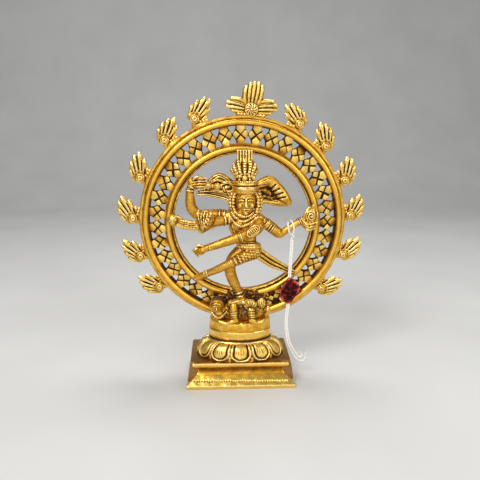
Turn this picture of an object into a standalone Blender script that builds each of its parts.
"""Brass statue of a dancer in a ring of flames, on a lotus pedestal, with a tag hung on twine.

Metres, +Z up. The front faces -Y, the ring's middle is above the origin and the plinth stands on Z = 0.
Each piece is its own object, and GAP is left wherever two pieces meet.
"""

import math

import bmesh
import bpy
from mathutils import Matrix, Vector

MM = 0.001
GAP = 0.3 * MM

# Pedestal: plinth, lotus cushion and seat drum
BASE_X = -1.4 * MM
PLINTH_WIDTH = 83.7 * MM
PLINTH_DRAFT = 2.85 * MM
PLINTH_DEPTH = 53.0 * MM
PLINTH_HEIGHT = 19.3 * MM
PLINTH_WALL = 3.0 * MM
MOULDING_NECK_INSET = 7.6 * MM
MOULDING_FILLET_INSET = 4.65 * MM
MOULDING_NECK_PROUD = 1.0 * MM
MOULDING_BAND = 3.0 * MM
MOULDING_SLOPE_TOP = 9.4 * MM
MOULDING_NECK_TOP = 14.4 * MM
MOULDING_FILLET_BOTTOM = 15.9 * MM
CUSHION_HALF_WIDTH = 34.4 * MM
CUSHION_HALF_DEPTH = 22.8 * MM
CUSHION_HEIGHT = 13.4 * MM
CUSHION_PETALS = 14
PETAL_NOTCH = 0.05
DRUM_HALF_WIDTH = 24.6 * MM
DRUM_HALF_DEPTH = 15.4 * MM
DRUM_HEIGHT = 19.2 * MM
DRUM_FRONT_SLOPE = math.radians(13)
STUD_RADIUS = 3.0 * MM
STUD_GRIP = 6.0 * MM
WASHER_RADIUS = 7.0 * MM
WASHER_THICK = 1.5 * MM
NUT_RADIUS = 5.8 * MM
NUT_THICK = 5.0 * MM
STUD_TAIL = 1.5 * MM

# Ring of flames
RING_RIM_R = 81.0 * MM
RIM_WIDTH = 5.0 * MM
LATTICE_WIDTH = 19.0 * MM
LIP_WIDTH = 4.0 * MM
OUTER_BEAD = 2.3 * MM
INNER_BEAD = 2.2 * MM
PLATE_FRONT_Y = 3.5 * MM
PLATE_THICK = 4.0 * MM
RING_SINK = 9.0 * MM
TENON_DEPTH = 7.2 * MM
RING_LEAN = math.radians(3.0)
LATTICE_COUNT = 34
LATTICE_HOLE_WIDTH = 5.4 * MM
LATTICE_WEB = 3.9 * MM
LATTICE_EDGE = 0.7 * MM
LATTICE_STOP = math.radians(28)
BEAD_STOP = math.radians(22)
BEAD_STEPS = 60
FLAME_COUNT = 6
FLAME_FROM_CREST = 35.8 * MM
FLAME_LAST = math.radians(127.8)
FLAME_LEAN = math.radians(57)
FLAME_FINGERS = ((-27, 11.5), (-12, 16.0), (0, 19.5), (12, 18.0), (25, 13.5))
FLAME_VALLEY = 0.62
FLAME_BOSS_R = 2.9 * MM
FLAME_BOSS_RISE = 3.2 * MM
FLAME_THICK = 3.4 * MM
FLAME_FOOT = 6.0 * MM
CREST_LEAN = math.radians(1.4)
CREST_ROSETTE_R = 5.3 * MM
CREST_ROSETTE_RISE = 4.2 * MM
CREST_THICK = 5.0 * MM
CREST_FOOT = 10.0 * MM

# Hanging tag: two strands of cotton twine, a loop round the forearm and a pressed seal
TWINE = 1.3 * MM
LOOP_APART = 1.15 * MM
LOOP_LEAN = math.radians(11)
LOOP_MOUTH = 50
KNOT_R = 2.0 * MM
KNOT_DROP = 7.3 * MM
STRAND_APART = 0.95 * MM
TAG_THICK = 3.0 * MM

# Where the pedestal's and the ring's pieces stand
PLINTH_TOP_WIDTH = PLINTH_WIDTH - 2 * PLINTH_DRAFT
CUSHION_BOTTOM = PLINTH_HEIGHT + GAP
CUSHION_TOP = CUSHION_BOTTOM + CUSHION_HEIGHT
DRUM_BOTTOM = CUSHION_TOP + GAP
DRUM_TOP = DRUM_BOTTOM + DRUM_HEIGHT
RING_Z = DRUM_TOP + RING_RIM_R - RING_SINK
OUTER_BEAD_R = RING_RIM_R - RIM_WIDTH
INNER_BEAD_R = OUTER_BEAD_R - LATTICE_WIDTH
RING_LIP_R = INNER_BEAD_R - LIP_WIDTH
PLATE_MID_Y = PLATE_FRONT_Y + PLATE_THICK / 2
OUTER_BEAD_Y = PLATE_FRONT_Y - GAP - OUTER_BEAD
INNER_BEAD_Y = PLATE_FRONT_Y - GAP - INNER_BEAD
RING_CENTRE = Vector((0, 0, RING_Z))
RING_TOP = math.pi / 2 - RING_LEAN
FLAME_FIRST = FLAME_FROM_CREST / RING_RIM_R
FLAME_STEP = (FLAME_LAST - FLAME_FIRST) / (FLAME_COUNT - 1)

# The figure is drawn for a bead circle of 57 mm whose top is 129 mm above the seat. It is stretched to fit
# across and up, and grows as thick as the larger stretch, while its place from front to back stays.
DRAWN_REACH = 57.0
DRAWN_RISE = 129.0
FIT_X = INNER_BEAD_R / (DRAWN_REACH * MM)
FIT_Z = (RING_Z + INNER_BEAD_R - DRUM_TOP) / (DRAWN_RISE * MM)
FIT = max(FIT_X, FIT_Z)

# The forearm that the twine hangs on, in the figure's drawing: elbow, wrist and radius
TIE_ELBOW = (30.6, -6.0, 65.8)
TIE_WRIST = (42.7, -6.0, 73.7)
TIE_ARM_R = 2.7
TIE_PLACE = 0.52


def clear_scene():
    for item in list(bpy.data.objects):
        bpy.data.objects.remove(item, do_unlink=True)


def new_collection(name):
    made = bpy.data.collections.new(name)
    bpy.context.scene.collection.children.link(made)
    return made


def new_material(name, colour, roughness, metallic):
    made = bpy.data.materials.new(name)
    made.use_nodes = True
    shader = made.node_tree.nodes["Principled BSDF"]
    shader.inputs["Base Color"].default_value = (*colour, 1)
    shader.inputs["Roughness"].default_value = roughness
    shader.inputs["Metallic"].default_value = metallic
    return made


clear_scene()
PARTS = new_collection("brass_nataraja_statue")
CUTTERS = new_collection("cutters")
CAST_BRASS = new_material("cast_brass", (0.60, 0.36, 0.09), 0.38, 1.0)
DARK_BRASS = new_material("dark_brass", (0.32, 0.19, 0.08), 0.5, 1.0)
STEEL = new_material("plain_steel", (0.45, 0.45, 0.44), 0.45, 1.0)
COTTON = new_material("cotton_twine", (0.82, 0.79, 0.70), 0.9, 0.0)
SEAL_WAX = new_material("seal_wax", (0.16, 0.02, 0.03), 0.35, 0.0)


# Making, joining and cutting solids


def to_object(name, bm, home=PARTS):
    bmesh.ops.recalc_face_normals(bm, faces=bm.faces)
    mesh = bpy.data.meshes.new(name)
    bm.to_mesh(mesh)
    bm.free()
    made = bpy.data.objects.new(name, mesh)
    home.objects.link(made)
    return made


def finish(item, look):
    item.data.materials.clear()
    item.data.materials.append(look)
    item.data.shade_smooth()
    item.data.set_sharp_from_angle(angle=math.radians(40))
    return item


def make_cutter(item):
    for home in list(item.users_collection):
        home.objects.unlink(item)
    CUTTERS.objects.link(item)
    item.hide_render = True
    item.display_type = "WIRE"
    return item


def cut(item, cutter):
    """Leaves the cutter in its own collection, with a live Boolean on the item."""
    change = item.modifiers.new(f"cut_by_{cutter.name}", "BOOLEAN")
    change.operation = "DIFFERENCE"
    change.object = make_cutter(cutter)
    return item


def as_evaluated(item):
    bpy.context.view_layer.update()
    graph = bpy.context.evaluated_depsgraph_get()
    return bpy.data.meshes.new_from_object(item.evaluated_get(graph))


def join(item, others):
    """Unites the others with the item, and removes them."""
    for other in others:
        change = item.modifiers.new("join", "BOOLEAN")
        change.operation = "UNION"
        change.object = other
        mesh = as_evaluated(item)
        item.modifiers.clear()
        item.data = mesh
        bpy.data.objects.remove(other, do_unlink=True)
    return item


def curve_to_object(name, curve, matrix=Matrix()):
    """The curve as a closed mesh, with its caps welded and its place in the mesh."""
    guide = bpy.data.objects.new(name, curve)
    PARTS.objects.link(guide)
    bm = bmesh.new()
    bm.from_mesh(as_evaluated(guide))
    bpy.data.objects.remove(guide, do_unlink=True)
    bmesh.ops.remove_doubles(bm, verts=bm.verts, dist=0.001 * MM)
    bmesh.ops.transform(bm, matrix=matrix, verts=bm.verts)
    return to_object(name, bm)


def tube(name, stations, resolution=2, closed=False):
    """A round tube through stations of (point, radius)."""
    curve = bpy.data.curves.new(name, "CURVE")
    curve.dimensions = "3D"
    curve.bevel_depth = MM
    curve.bevel_resolution = resolution
    curve.use_fill_caps = not closed
    spline = curve.splines.new("POLY")
    spline.use_cyclic_u = closed
    spline.points.add(len(stations) - 1)
    for place, (point, radius) in zip(spline.points, stations):
        place.co = (*point, 1)
        place.radius = radius / MM
    return curve_to_object(name, curve)


def outline_plate(name, outlines, thick, matrix):
    """A flat plate from closed outlines, the first its edge and the rest its holes."""
    curve = bpy.data.curves.new(name, "CURVE")
    curve.dimensions = "2D"
    curve.fill_mode = "BOTH"
    curve.extrude = thick / 2
    for outline in outlines:
        spline = curve.splines.new("POLY")
        spline.use_cyclic_u = True
        spline.points.add(len(outline) - 1)
        for place, (x, y) in zip(spline.points, outline):
            place.co = (x, y, 0, 1)
    return curve_to_object(name, curve, matrix)


def smooth_stations(points, samples):
    """Points of any length, read from a smooth curve that passes through all of them."""
    ends = [2 * points[0] - points[1], *points, 2 * points[-1] - points[-2]]
    made = []
    for a, b, c, d in zip(ends, ends[1:], ends[2:], ends[3:]):
        for step in range(samples):
            t = step / samples
            bend = 2 * a - 5 * b + 4 * c - d
            made.append(b + 0.5 * t * ((c - a) + t * (bend + t * (3 * b - 3 * c + d - a))))
    made.append(points[-1])
    return made


def even_stations(points, spacing):
    """The smooth curve through the points, cut into even steps of about the spacing."""
    fine = smooth_stations(points, 24)
    reach = [0.0]
    for a, b in zip(fine, fine[1:]):
        reach.append(reach[-1] + (b - a).length)
    count = max(2, round(reach[-1] / spacing))
    made = []
    at = 0
    for step in range(count + 1):
        want = reach[-1] * step / count
        while at < len(fine) - 2 and reach[at + 1] < want:
            at += 1
        share = (want - reach[at]) / (reach[at + 1] - reach[at])
        made.append(fine[at].lerp(fine[at + 1], share))
    return made


def figure_point(x, y, z):
    """A point of the figure's drawing, in millimetres with Z above the seat, stretched to the ring."""
    return Vector((x * FIT_X * MM, y * MM, DRUM_TOP + z * FIT_Z * MM))


# A limb's rounded tip: how far past its end, and how thick there, as shares of its radius
ROUND_TIP = ((0.5, 0.84), (0.85, 0.5))


def limb(name, drawn, grow=0.0, samples=2):
    """A rounded limb through drawn stations of (x, y, z, radius)."""
    path = smooth_stations([Vector(station) for station in drawn], samples)
    stations = [(figure_point(*s[:3]), s[3] * FIT * MM + grow) for s in path]
    tips = []
    for (end, radius), (inner, _) in ((stations[0], stations[1]), (stations[-1], stations[-2])):
        away = (end - inner).normalized()
        tips.append([(end + away * radius * reach, radius * share) for reach, share in ROUND_TIP])
    return tube(name, [*reversed(tips[0]), *stations, *tips[1]])


def ball(name, centre, radii, grow=0.0, tilt=0.0, segments=10):
    """An egg-shaped solid of the figure's drawing, tilted about Y in degrees."""
    bm = bmesh.new()
    size = [radius * FIT * MM + grow for radius in radii]
    place = Matrix.Translation(figure_point(*centre)) @ Matrix.Rotation(math.radians(tilt), 4, "Y")
    bmesh.ops.create_uvsphere(
        bm, u_segments=segments, v_segments=7, radius=1, matrix=place @ Matrix.Diagonal((*size, 1))
    )
    return to_object(name, bm)


def bridge_rings(name, rings, bm):
    """Bridges each ring of vertices to the next, and caps the first and the last."""
    loops = [list({edge for vert in ring for edge in vert.link_edges}) for ring in rings]
    for lower, upper in zip(loops, loops[1:]):
        bmesh.ops.bridge_loops(bm, edges=lower + upper)
    for loop in (loops[0], loops[-1]):
        bmesh.ops.contextual_create(bm, geom=loop)
    return to_object(name, bm)


def oval_stack(name, centre, levels, segments=28, petals=0, notch=0.0):
    """Ovals of (height, half width, half depth) bridged into one solid, and notched into petals."""
    bm = bmesh.new()
    rings = []
    for height, half_width, half_depth in levels:
        rings.append(bmesh.ops.create_circle(bm, segments=segments, radius=1)["verts"])
        for vert in rings[-1]:
            turn = math.atan2(vert.co.y, vert.co.x)
            shape = 1 - notch * (1 - abs(math.sin(petals * turn / 2)))
            x, y = half_width * shape * math.cos(turn), half_depth * shape * math.sin(turn)
            vert.co = (centre[0] + x, centre[1] + y, height)
    return bridge_rings(name, rings, bm)


def box_stack(name, levels):
    """Rectangles of (height, x low, x high, y low, y high) bridged into one solid."""
    bm = bmesh.new()
    rings = []
    quarter = Matrix.Rotation(math.radians(45), 4, "Z")
    for height, x_low, x_high, y_low, y_high in levels:
        rings.append(bmesh.ops.create_circle(bm, segments=4, radius=1, matrix=quarter)["verts"])
        for vert in rings[-1]:
            vert.co = (x_high if vert.co.x > 0 else x_low, y_high if vert.co.y > 0 else y_low, height)
    return bridge_rings(name, rings, bm)


def round_bar(name, radius, low, high, segments=16, x=BASE_X, y=0.0):
    """An upright round or many-sided bar."""
    bm = bmesh.new()
    bmesh.ops.create_cone(
        bm,
        cap_ends=True,
        segments=segments,
        radius1=radius,
        radius2=radius,
        depth=high - low,
        matrix=Matrix.Translation((x, y, (low + high) / 2)),
    )
    return to_object(name, bm)


# Pedestal


def plinth():
    """A hollow block with drafted sides, and a front moulding whose ends are mitred."""
    half, top, deep = PLINTH_WIDTH / 2, PLINTH_TOP_WIDTH / 2, PLINTH_DEPTH / 2
    neck, fillet = half - MOULDING_NECK_INSET, half - MOULDING_FILLET_INSET
    neck_y, fillet_y = MOULDING_NECK_INSET - deep, MOULDING_FILLET_INSET - deep
    inside_y = neck_y + PLINTH_WALL
    sides = ((0, half), (PLINTH_HEIGHT, top))
    block = box_stack("plinth", [(z, BASE_X - x, BASE_X + x, neck_y, deep) for z, x in sides])
    profile = [
        (0, half, -deep),
        (MOULDING_BAND, half, -deep),
        (MOULDING_SLOPE_TOP, neck, neck_y - MOULDING_NECK_PROUD),
        (MOULDING_NECK_TOP, neck, neck_y - MOULDING_NECK_PROUD),
        (MOULDING_FILLET_BOTTOM, fillet, fillet_y),
        (PLINTH_HEIGHT, fillet, fillet_y),
    ]
    moulding = box_stack("moulding", [(z, BASE_X - x, BASE_X + x, y, inside_y) for z, x, y in profile])
    join(block, [moulding])
    room = top - PLINTH_WALL
    heights = (-PLINTH_WALL, PLINTH_HEIGHT - PLINTH_WALL)
    hollow = [(z, BASE_X - room, BASE_X + room, inside_y, deep - PLINTH_WALL) for z in heights]
    cut(block, box_stack("plinth_hollow", hollow))
    cut(block, round_bar("plinth_stud_hole", STUD_RADIUS + GAP, 0, PLINTH_HEIGHT + PLINTH_WALL))
    return finish(block, DARK_BRASS)


def lotus_cushion():
    """An oval dome of notched petals under a round collar."""
    shape = [(0.0, 0.95), (0.12, 1.0), (0.4, 0.97), (0.7, 0.87), (0.9, 0.77), (1.0, 0.73)]
    levels = [
        (CUSHION_BOTTOM + rise * CUSHION_HEIGHT, share * CUSHION_HALF_WIDTH, share * CUSHION_HALF_DEPTH)
        for rise, share in shape
    ]
    dome = oval_stack("lotus_cushion", (BASE_X, 0), levels, CUSHION_PETALS * 3, CUSHION_PETALS, PETAL_NOTCH)
    cut(dome, round_bar("cushion_stud_hole", STUD_RADIUS + GAP, 0, DRUM_TOP))
    return finish(dome, CAST_BRASS)


def drum_solid(name, grow=0.0):
    """The seat's oval drum: lip, groove, facet band and a top that slopes down at the front."""
    foot = [(0.0, 1.03), (0.14, 1.04), (0.19, 0.97), (0.30, 0.97)]
    shape = [*foot, (0.34, 1.0), (0.61, 1.01), (0.66, 0.98), (1.0, 0.97)]
    levels = [
        (
            DRUM_BOTTOM + rise * DRUM_HEIGHT + (grow if rise else -grow),
            share * DRUM_HALF_WIDTH + grow,
            share * DRUM_HALF_DEPTH + grow,
        )
        for rise, share in shape
    ]
    drum = oval_stack(name, (BASE_X, 0), levels)
    bm = bmesh.new()
    lift = Matrix.Translation((BASE_X, 0, DRUM_TOP + grow))
    slope = lift @ Matrix.Rotation(DRUM_FRONT_SLOPE, 4, "X")
    size = 4 * DRUM_HALF_WIDTH
    bmesh.ops.create_cube(bm, size=size, matrix=slope @ Matrix.Translation((0, -size / 2 - GAP, size / 2)))
    cut(drum, to_object(f"{name}_slope", bm))
    return drum


def seat_drum():
    """The drum, with a slot for the ring's tenon and a hole for the stud."""
    drum = drum_solid("seat_drum")
    low, high = BASE_X - 2 * DRUM_HALF_WIDTH, BASE_X + 2 * DRUM_HALF_WIDTH
    front, back = PLATE_FRONT_Y - GAP, PLATE_FRONT_Y + PLATE_THICK + GAP
    heights = (DRUM_TOP - TENON_DEPTH - GAP, DRUM_TOP + TENON_DEPTH)
    cut(drum, box_stack("ring_slot", [(z, low, high, front, back) for z in heights]))
    cut(drum, round_bar("drum_stud_hole", STUD_RADIUS + GAP, 0, DRUM_BOTTOM + STUD_GRIP + GAP))
    return finish(drum, CAST_BRASS)


def base_fixing():
    """A stud screwed into the drum, with a washer and a nut inside the hollow plinth."""
    ceiling = PLINTH_HEIGHT - PLINTH_WALL
    washer_low = ceiling - GAP - WASHER_THICK
    nut_low = washer_low - GAP - NUT_THICK
    bore = STUD_RADIUS + GAP
    finish(round_bar("tie_stud", STUD_RADIUS, nut_low - STUD_TAIL, DRUM_BOTTOM + STUD_GRIP), STEEL)
    washer = round_bar("tie_washer", WASHER_RADIUS, washer_low, washer_low + WASHER_THICK)
    cut(washer, round_bar("washer_bore", bore, 0, DRUM_TOP))
    finish(washer, STEEL)
    nut = round_bar("tie_nut", NUT_RADIUS, nut_low, nut_low + NUT_THICK, segments=6)
    cut(nut, round_bar("nut_bore", bore, 0, DRUM_TOP))
    finish(nut, STEEL)


# Ring of flames


def ring_place(radius, angle, y):
    """A point of the ring, with the angle counted from +X towards +Z."""
    return RING_CENTRE + Vector((radius * math.cos(angle), y, radius * math.sin(angle)))


def facing_front(centre):
    """Turns a flat outline's X and Y to the statue's X and Z."""
    return Matrix.Translation(centre) @ Matrix.Rotation(math.radians(90), 4, "X")


def ring_outline(grow=0.0, segments=72):
    """The rim, cut flat where the ring's tenon stands in the drum."""
    radius = RING_RIM_R + grow
    flat = RING_Z - DRUM_TOP + TENON_DEPTH + grow
    half_flat = math.acos(min(1.0, flat / radius))
    start = half_flat - math.pi / 2
    sweep = 2 * (math.pi - half_flat)
    turns = [start + sweep * n / segments for n in range(segments + 1)]
    return [(radius * math.cos(turn), radius * math.sin(turn)) for turn in turns]


def circle(radius, segments=60):
    turns = [2 * math.pi * n / segments for n in range(segments)]
    return [(radius * math.cos(turn), radius * math.sin(turn)) for turn in turns]


def lattice_holes():
    """Two rows of three-cornered holes between the lattice's diamonds."""
    inner = INNER_BEAD_R + INNER_BEAD + LATTICE_EDGE
    outer = OUTER_BEAD_R - OUTER_BEAD - LATTICE_EDGE
    height = (outer - inner - LATTICE_WEB) / 2
    holes = []
    for number in range(LATTICE_COUNT):
        angle = RING_TOP + 2 * math.pi * (number + 0.5) / LATTICE_COUNT
        from_bottom = abs((angle + math.pi / 2 + math.pi) % (2 * math.pi) - math.pi)
        if from_bottom < LATTICE_STOP:
            continue
        for base, tip in ((outer, outer - height), (inner, inner + height)):
            half = LATTICE_HOLE_WIDTH / 2 / base
            places = ((base, angle - half), (tip, angle), (base, angle + half))
            holes.append([(radius * math.cos(turn), radius * math.sin(turn)) for radius, turn in places])
    return holes


def plate_solid(name, grow=0.0, holes=()):
    outlines = [ring_outline(grow), circle(RING_LIP_R - grow), *holes]
    centre = RING_CENTRE + Vector((0, PLATE_MID_Y, 0))
    return outline_plate(name, outlines, PLATE_THICK + 2 * grow, facing_front(centre))


def bead_solid(name, grow=0.0):
    """The inner bead, a full round ring in front of the plate."""
    turns = [2 * math.pi * n / BEAD_STEPS for n in range(BEAD_STEPS)]
    stations = [(ring_place(INNER_BEAD_R, turn, INNER_BEAD_Y), INNER_BEAD + grow) for turn in turns]
    return tube(name, stations, closed=True)


def outer_bead():
    """The outer bead, a round bar whose two ends stop beside the drum."""
    start = -math.pi / 2 + BEAD_STOP
    sweep = 2 * math.pi - 2 * BEAD_STOP
    turns = [start + sweep * n / BEAD_STEPS for n in range(BEAD_STEPS + 1)]
    stations = [(ring_place(OUTER_BEAD_R, turn, OUTER_BEAD_Y), OUTER_BEAD) for turn in turns]
    return finish(tube("outer_bead", stations), CAST_BRASS)


def front_disc(name, radius, rise, height, y_back):
    """A round boss that stands out to the front of a flame."""
    bm = bmesh.new()
    place = Matrix.Translation((0, y_back - rise / 2, height)) @ Matrix.Rotation(math.radians(90), 4, "X")
    bmesh.ops.create_cone(
        bm, cap_ends=True, segments=12, radius1=radius, radius2=0.8 * radius, depth=rise, matrix=place
    )
    return to_object(name, bm)


def flame_mesh(side):
    """A fan of pointed fingers on a boss and a foot. Its origin is on the rim, and Z runs outwards."""
    height = FLAME_BOSS_R + GAP
    reaches = [(side * (FLAME_LEAN + math.radians(turn)), length * MM) for turn, length in FLAME_FINGERS]
    outline = [(FLAME_BOSS_R * math.sin(reaches[0][0] * 0.3), height + 0.8 * FLAME_BOSS_R)]
    for (turn, length), (turn_on, length_on) in zip(reaches, reaches[1:]):
        outline.append((length * math.sin(turn), height + length * math.cos(turn)))
        middle = (turn + turn_on) / 2
        valley = FLAME_VALLEY * min(length, length_on)
        outline.append((valley * math.sin(middle), height + valley * math.cos(middle)))
    turn, length = reaches[-1]
    outline.append((length * math.sin(turn), height + length * math.cos(turn)))
    outline.append((0, height - 0.5 * FLAME_BOSS_R))
    fan = outline_plate("flame", [outline], FLAME_THICK, facing_front((0, 0, 0)))
    deep = 0.4 * FLAME_THICK
    feet = ((GAP, FLAME_FOOT / 2), (height, FLAME_FOOT / 3))
    foot = box_stack("foot", [(z, -half, half, -deep, deep) for z, half in feet])
    boss = front_disc("boss", FLAME_BOSS_R, FLAME_THICK / 2 + FLAME_BOSS_RISE, height, FLAME_THICK / 4)
    join(fan, [foot, boss])
    mesh = fan.data
    bpy.data.objects.remove(fan, do_unlink=True)
    return mesh


def place_on_rim(item, angle):
    """Stands an item on the rim, its Z outwards, at an angle counted from +X towards +Z."""
    item.location = ring_place(RING_RIM_R, angle, PLATE_MID_Y)
    item.rotation_euler = (0, math.pi / 2 - angle, 0)


def side_flames():
    for side, word in ((-1, "left"), (1, "right")):
        mesh = flame_mesh(-side)
        for number in range(FLAME_COUNT):
            flame = bpy.data.objects.new(f"flame_{word}_{number + 1}", mesh)
            PARTS.objects.link(flame)
            turn = FLAME_FIRST + number * FLAME_STEP
            place_on_rim(flame, RING_TOP - side * turn)
            finish(flame, CAST_BRASS)


def crest_lobe(name, centre, size, turn):
    """A flattened egg, turned in the ring's plane."""
    bm = bmesh.new()
    place = Matrix.Translation((centre[0] * MM, 0, centre[1] * MM))
    turned = place @ Matrix.Rotation(math.radians(turn), 4, "Y")
    scale = Matrix.Diagonal((size[0] * MM, CREST_THICK / 2, size[1] * MM, 1))
    bmesh.ops.create_uvsphere(bm, u_segments=14, v_segments=7, radius=1, matrix=turned @ scale)
    return to_object(name, bm)


def crest_flame():
    """Three lobes round a rosette, on a foot that stands on the rim."""
    crest = crest_lobe("crest_flame", (1.0, 14.8), (7.7, 10.3), 3)
    left = crest_lobe("left_lobe", (-10.0, 5.8), (9.5, 5.6), 14)
    right = crest_lobe("right_lobe", (10.5, 5.4), (9.5, 5.6), -12)
    height = 0.8 * CREST_ROSETTE_R
    rosette_deep = (CREST_THICK + CREST_ROSETTE_RISE) / 2
    rosette = front_disc("rosette", CREST_ROSETTE_R, rosette_deep, height, CREST_THICK / 4)
    deep = 0.4 * CREST_THICK
    feet = ((0, CREST_FOOT), (height, 0.8 * CREST_FOOT))
    foot = box_stack("foot", [(z, -half, half, -deep, deep) for z, half in feet])
    join(crest, [left, right, rosette, foot])
    below = facing_front((0, 0, -RING_RIM_R))
    rim = outline_plate("crest_rim_room", [circle(RING_RIM_R + GAP)], 4 * CREST_THICK, below)
    cut(crest, rim)
    angle = RING_TOP - CREST_LEAN
    place_on_rim(crest, angle)
    place_on_rim(rim, angle)
    return finish(crest, CAST_BRASS)


# The figure. Each entry of SHAPES draws one piece: limbs are (x, y, z, radius) stations, and eggs are
# (centre, radii, tilt), in millimetres of the figure's drawing.

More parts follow.
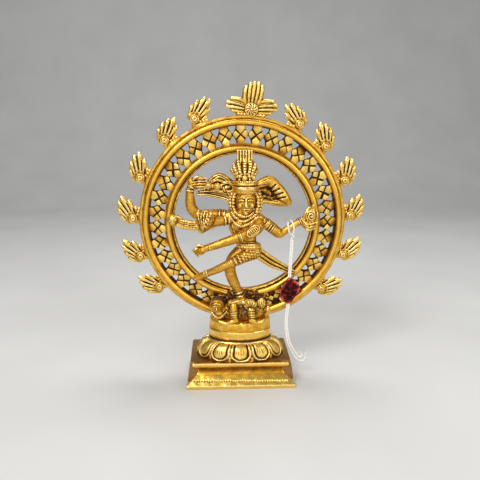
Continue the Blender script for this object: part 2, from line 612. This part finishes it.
SHAPES = {
    "torso": {
        "eggs": [
            ((2.8, -7.0, 69.5), (13.2, 6.6, 11.0), 0),
            ((3.0, -7.5, 59.0), (7.6, 6.0, 10.0), 0),
            ((5.4, -7.5, 49.0), (10.4, 6.8, 7.6), -6),
        ],
        "limbs": [
            [(-9.5, -6.5, 76.5, 4.8), (2.5, -6.5, 78.0, 5.2), (13.8, -6.5, 75.5, 4.8)],
            [(2.6, -6.5, 75.0, 5.2), (2.6, -7.0, 84.0, 4.6)],
        ],
    },
    "head": {
        "eggs": [
            ((2.6, -8.2, 90.0), (8.4, 8.2, 10.8), 0),
            ((-6.0, -6.8, 88.5), (3.0, 4.2, 7.4), 0),
            ((11.2, -6.8, 88.5), (3.0, 4.2, 7.4), 0),
        ],
    },
    "drum_arm": {
        "limbs": [
            [
                (-9.0, -6.2, 76.5, 3.4),
                (-22.0, -5.0, 78.0, 4.2),
                (-33.5, -5.0, 78.8, 4.0),
                (-38.4, -4.8, 86.5, 3.7),
                (-38.6, -4.5, 97.5, 3.1),
                (-35.0, -4.5, 103.0, 3.1),
                (-26.8, -4.5, 104.2, 2.2),
            ]
        ],
    },
    "blessing_arm": {
        "limbs": [
            [
                (-8.5, -7.5, 75.5, 3.4),
                (-21.0, -10.5, 72.5, 4.4),
                (-28.6, -13.0, 69.5, 4.4),
                (-29.0, -14.2, 75.5, 3.8),
                (-27.4, -14.4, 82.5, 2.6),
            ]
        ],
    },
    "cobra": {
        "limbs": [
            [
                (-22.0, -7.0, 71.0, 2.2),
                (-33.0, -5.5, 69.2, 2.4),
                (-44.0, -4.4, 71.0, 2.4),
                (-50.5, -4.0, 75.6, 2.6),
            ],
        ],
        "eggs": [((-52.4, -4.0, 76.6), (4.0, 4.0, 4.6), 20)],
    },
    "flame_arm": {
        "limbs": [
            [
                (13.0, -6.5, 75.6, 3.4),
                (21.5, -6.2, 71.0, 4.3),
                (28.0, -6.0, 65.6, 3.9),
                (31.2, -6.0, 66.2, 3.2),
                (34.6, -6.0, 68.4, 2.7),
                (38.7, -6.0, 71.1, 2.7),
                (42.7, -6.0, 73.7, 2.7),
                (46.0, -5.6, 75.2, 3.0),
            ]
        ],
    },
    "flame_bowl": {"eggs": [((51.4, -4.8, 72.8), (6.0, 4.8, 3.8), -10)]},
    "flame_tongue": {"limbs": [[(52.0, -4.8, 78.0, 4.0), (53.0, -4.6, 81.5, 3.8), (54.4, -4.2, 86.6, 1.0)]]},
    "crossing_arm": {
        "limbs": [
            [
                (13.0, -7.6, 75.0, 3.6),
                (11.5, -13.5, 70.5, 4.8),
                (6.0, -15.6, 66.0, 4.5),
                (-8.0, -16.0, 60.8, 3.8),
                (-20.0, -16.0, 57.0, 3.2),
                (-26.6, -16.0, 55.2, 2.9),
                (-31.0, -16.0, 53.4, 3.3),
                (-35.0, -16.0, 51.0, 1.9),
            ]
        ],
    },
    "standing_leg": {
        "limbs": [
            [
                (-0.5, -6.8, 45.5, 6.4),
                (-7.0, -8.2, 40.5, 5.6),
                (-11.4, -9.2, 35.4, 4.8),
                (-8.4, -8.8, 28.0, 4.4),
                (-3.6, -8.2, 19.0, 3.0),
                (-2.6, -8.6, 15.6, 2.9),
                (-1.8, -11.2, 13.6, 2.6),
            ]
        ],
    },
    "raised_leg": {
        "limbs": [
            [
                (10.0, -10.5, 46.6, 6.4),
                (1.0, -14.0, 44.4, 5.6),
                (-8.0, -15.0, 42.2, 4.9),
                (-19.0, -12.5, 37.8, 4.2),
                (-29.0, -8.0, 33.4, 3.0),
                (-35.0, -4.6, 29.8, 3.2),
                (-40.4, -3.4, 26.0, 2.0),
            ]
        ],
    },
    "sash": {
        "limbs": [
            [
                (13.0, -6.6, 49.0, 3.2),
                (21.8, -5.0, 42.4, 3.0),
                (31.0, -2.6, 37.6, 2.6),
                (40.4, -0.8, 32.6, 2.4),
            ],
        ],
    },
    "hair_wing": {
        "limbs": [
            [
                (8.2, -6.4, 100.2, 2.0),
                (18.5, -4.8, 107.2, 3.2),
                (26.0, -4.4, 106.0, 3.4),
                (33.0, -4.2, 97.0, 3.4),
                (36.2, -4.2, 89.8, 2.6),
            ],
            [
                (8.2, -6.8, 91.6, 2.0),
                (20.0, -4.8, 99.0, 2.8),
                (28.5, -4.4, 95.0, 3.2),
                (34.5, -4.2, 88.4, 2.4),
            ],
            [
                (9.2, -6.8, 88.0, 2.0),
                (21.0, -4.8, 88.0, 2.0),
                (29.0, -4.4, 87.4, 2.4),
                (35.0, -4.2, 87.6, 2.2),
            ],
        ],
    },
    "hair_locks": {
        "limbs": [
            [
                (-3.0, -6.4, 100.2, 2.0),
                (-12.5, -4.0, 106.6, 3.0),
                (-19.5, -3.4, 105.6, 3.0),
                (-25.5, -3.0, 99.6, 2.4),
            ],
            [
                (-3.0, -6.8, 91.6, 2.0),
                (-14.0, -4.0, 95.4, 2.2),
                (-24.0, -3.2, 97.4, 2.2),
                (-33.0, -3.0, 96.4, 1.6),
            ],
            [
                (-4.0, -6.8, 88.0, 2.0),
                (-14.0, -4.0, 90.4, 1.8),
                (-24.0, -3.2, 93.6, 1.8),
                (-33.0, -3.0, 94.8, 1.4),
            ],
        ],
    },
    "hand_drum": {
        "limbs": [[(-24.5, -7.2, 101.6, 2.9), (-21.6, -7.2, 101.4, 1.6), (-18.7, -7.2, 101.2, 2.9)]],
    },
    "dwarf_body": {
        "limbs": [
            [(-13.5, -8.5, 5.0, 4.6), (-3.0, -9.0, 7.0, 5.4), (7.5, -9.5, 6.0, 5.4)],
            [(-4.0, -12.0, 6.5, 3.0), (-5.2, -14.6, 1.6, 2.6), (-9.0, -14.6, -1.0, 1.9)],
            [(8.5, -12.5, 5.0, 3.6), (9.2, -14.4, 1.2, 2.6), (9.6, -15.0, -1.0, 2.0)],
            [(7.5, -7.6, 6.0, 3.2), (16.5, -6.8, 5.6, 2.8), (20.2, -6.4, 3.4, 2.4)],
        ],
    },
    "dwarf_head": {"eggs": [((-18.6, -8.6, 9.4), (5.8, 5.4, 6.2), 12)]},
}

# The neighbours that each piece makes room for
ROOM_FOR = {
    "head": ["torso"],
    "drum_arm": ["torso"],
    "blessing_arm": ["torso", "drum_arm"],
    "cobra": ["blessing_arm", "drum_arm", "inner_bead", "ring_plate"],
    "flame_arm": ["torso", "inner_bead"],
    "flame_bowl": ["flame_arm", "inner_bead", "ring_plate"],
    "flame_tongue": ["flame_arm", "flame_bowl", "inner_bead", "ring_plate"],
    "crossing_arm": ["torso", "flame_arm"],
    "standing_leg": ["torso"],
    "raised_leg": ["torso", "standing_leg", "inner_bead", "ring_plate"],
    "sash": ["torso", "raised_leg", "inner_bead", "ring_plate"],
    "hair_wing": ["head", "crown", "torso"],
    "hair_locks": ["head", "crown", "torso", "drum_arm"],
    "hand_drum": ["drum_arm", "hair_locks"],
    "dwarf_body": ["seat_drum", "standing_leg", "inner_bead", "ring_plate"],
    "dwarf_head": ["dwarf_body", "seat_drum", "inner_bead", "ring_plate"],
}

# The crown: (height above the seat, half width, half depth, middle Y) of its ovals
CROWN_MIDDLE_X = 2.6
CROWN_LEVELS = (
    (97.0, 9.6, 8.8, -8.0),
    (98.2, 10.4, 9.4, -8.0),
    (102.0, 10.4, 9.4, -8.0),
    (103.2, 9.0, 7.6, -7.6),
    (107.0, 8.8, 6.6, -7.2),
    (110.5, 9.8, 5.4, -6.8),
    (113.6, 10.6, 4.8, -6.6),
    (117.6, 7.8, 4.2, -6.2),
    (123.0, 7.2, 3.8, -5.6),
    (128.0, 7.2, 3.4, -5.2),
)


def crown_solid(name, grow=0.0):
    """A diadem band, a fan of feathers and a flat top that stands in front of the inner bead."""
    levels = []
    for number, (z, half_width, half_depth, _) in enumerate(CROWN_LEVELS):
        lift = {0: -grow, len(CROWN_LEVELS) - 1: grow}.get(number, 0)
        height = figure_point(0, 0, z).z + lift
        levels.append((height, half_width * FIT * MM + grow, half_depth * FIT * MM + grow))
    crown = oval_stack(name, (figure_point(CROWN_MIDDLE_X, 0, 0).x, 0), levels, segments=20)
    sides = len(crown.data.vertices) // len(levels)
    for number, vert in enumerate(crown.data.vertices):
        vert.co.y += CROWN_LEVELS[number // sides][3] * MM
    return crown


def figure_solid(name, grow=0.0, label=None):
    """One piece of the figure, all its limbs and eggs made one."""
    label = label or name
    shape = SHAPES[name]
    forms = [ball(label, centre, radii, grow, tilt) for centre, radii, tilt in shape.get("eggs", [])]
    forms += [limb(label, stations, grow) for stations in shape.get("limbs", [])]
    made = join(forms[0], forms[1:])
    made.name = label
    return made


def room_cutter(neighbour, owner):
    """A neighbour's solid grown by the gap, to cut its room out of the owner."""
    makers = {
        "seat_drum": drum_solid,
        "ring_plate": plate_solid,
        "inner_bead": bead_solid,
        "crown": crown_solid,
    }
    label = f"{owner}_room_for_{neighbour}"
    if neighbour in makers:
        return makers[neighbour](label, GAP)
    return figure_solid(neighbour, GAP, label)


def figure():
    crown = crown_solid("crown")
    cut(crown, room_cutter("head", "crown"))
    finish(crown, CAST_BRASS)
    for name in SHAPES:
        piece = figure_solid(name)
        for neighbour in ROOM_FOR.get(name, []):
            cut(piece, room_cutter(neighbour, name))
        finish(piece, CAST_BRASS)


# Twine and tag. The cord's routes are points chosen by hand, in millimetres.

UPPER_END = (36.9, 82.75)
UPPER_BOW = 0.25
TAG_OUTLINE = (
    (35.0, 82.4),
    (38.8, 82.4),
    (43.0, 78.0),
    (45.0, 72.4),
    (42.6, 66.6),
    (38.4, 61.8),
    (34.0, 61.8),
    (31.4, 66.6),
    (29.2, 71.6),
    (31.2, 77.2),
)
TAIL_1_ROUTE = (
    (35.3, 61.45),
    (34.8, 56.0),
    (34.0, 46.0),
    (34.9, 37.0),
    (36.6, 28.6),
    (40.2, 20.6),
    (44.4, 14.4),
    (48.6, 13.2),
    (50.7, 16.2),
    (51.0, 20.8),
)
TAIL_2_ROUTE = (
    (37.2, 61.45),
    (36.7, 56.0),
    (35.9, 46.0),
    (36.8, 37.0),
    (38.6, 28.8),
    (42.0, 21.8),
    (45.2, 17.2),
    (47.4, 16.6),
    (48.0, 18.6),
    (46.8, 20.4),
)
TIE_MIDDLE = figure_point(*TIE_ELBOW).lerp(figure_point(*TIE_WRIST), TIE_PLACE)
TIE_ALONG = (figure_point(*TIE_WRIST) - figure_point(*TIE_ELBOW)).normalized()
LOOP_UP = Vector((-math.sin(LOOP_LEAN), 0, math.cos(LOOP_LEAN)))
KNOT = TIE_MIDDLE - KNOT_DROP * LOOP_UP


def hang_on(item, point):
    """Puts the item's origin on its joint's axis."""
    item.data.transform(Matrix.Translation(-point))
    item.location = point
    return item


def least_gap(points, diameter, skip):
    """How near a tube comes to itself, between points at least so many steps apart."""
    return min((a - b).length - diameter for n, a in enumerate(points) for b in points[n + skip :])


def wrist_loops():
    """Two loops of twine round the forearm, side by side, with both ends of each in the knot."""
    back = Vector((0, 1, 0))
    spare = 2 * GAP + TWINE / 2
    half_deep = TIE_ARM_R * FIT * MM + spare
    half_tall = TIE_ARM_R * FIT * MM / TIE_ALONG.x + spare
    turns = [math.radians(turn) for turn in range(LOOP_MOUTH, 361 - LOOP_MOUTH, 20)]
    for number, side in ((1, -1), (2, 1)):
        name = f"wrist_loop_{number}"
        middle = TIE_MIDDLE + TIE_ALONG * (side * LOOP_APART)
        rounds = [back * half_deep * math.sin(turn) - LOOP_UP * half_tall * math.cos(turn) for turn in turns]
        foot = KNOT + Vector((side * STRAND_APART, 0, 0)) + LOOP_UP * (KNOT_R + GAP)
        ends = back * STRAND_APART
        points = [foot + ends, *(middle + away for away in rounds), foot - ends]
        stations = even_stations(points, 1.1 * TWINE)
        clear = least_gap(stations, TWINE, len(stations) // 2)
        print(f"{name}: least gap to itself {clear / MM:.2f} mm")
        loop = tube(name, [(point, TWINE / 2) for point in stations], resolution=1)
        finish(hang_on(loop, TIE_MIDDLE), COTTON)


def twine_knot():
    bm = bmesh.new()
    bmesh.ops.create_uvsphere(bm, u_segments=10, v_segments=6, radius=KNOT_R, matrix=Matrix.Translation(KNOT))
    finish(hang_on(to_object("twine_knot", bm), TIE_MIDDLE), COTTON)


def twine_strand(name, points):
    stations = [(point, TWINE / 2) for point in even_stations(points, 2.5 * TWINE)]
    finish(hang_on(tube(name, stations), KNOT), COTTON)


def hung_point(x, z):
    """A point of the hanging twine, in millimetres, straight below the knot's depth."""
    return Vector((x * MM, KNOT.y, z * MM))


def hanging_tag():
    """Two strands down to the seal, the seal, and the two loose ends below it."""
    for number, side in ((1, -1), (2, 1)):
        apart = Vector((side * STRAND_APART, 0, 0))
        start = KNOT + apart - Vector((0, 0, KNOT_R + GAP))
        end = hung_point(*UPPER_END) + apart
        bow = apart * UPPER_BOW
        twine_strand(f"twine_upper_{number}", [start, start.lerp(end, 0.5) + bow, end])
    outline = [(x * MM, z * MM) for x, z in TAG_OUTLINE]
    tag = outline_plate("seal_tag", [outline], TAG_THICK, facing_front((0, KNOT.y, 0)))
    finish(hang_on(tag, KNOT), SEAL_WAX)
    twine_strand("twine_tail_1", [hung_point(*place) for place in TAIL_1_ROUTE])
    twine_strand("twine_tail_2", [hung_point(*place) for place in TAIL_2_ROUTE])


plinth()
lotus_cushion()
seat_drum()
base_fixing()
finish(plate_solid("ring_plate", holes=lattice_holes()), CAST_BRASS)
outer_bead()
finish(bead_solid("inner_bead"), CAST_BRASS)
side_flames()
crest_flame()
figure()
wrist_loops()
twine_knot()
hanging_tag()
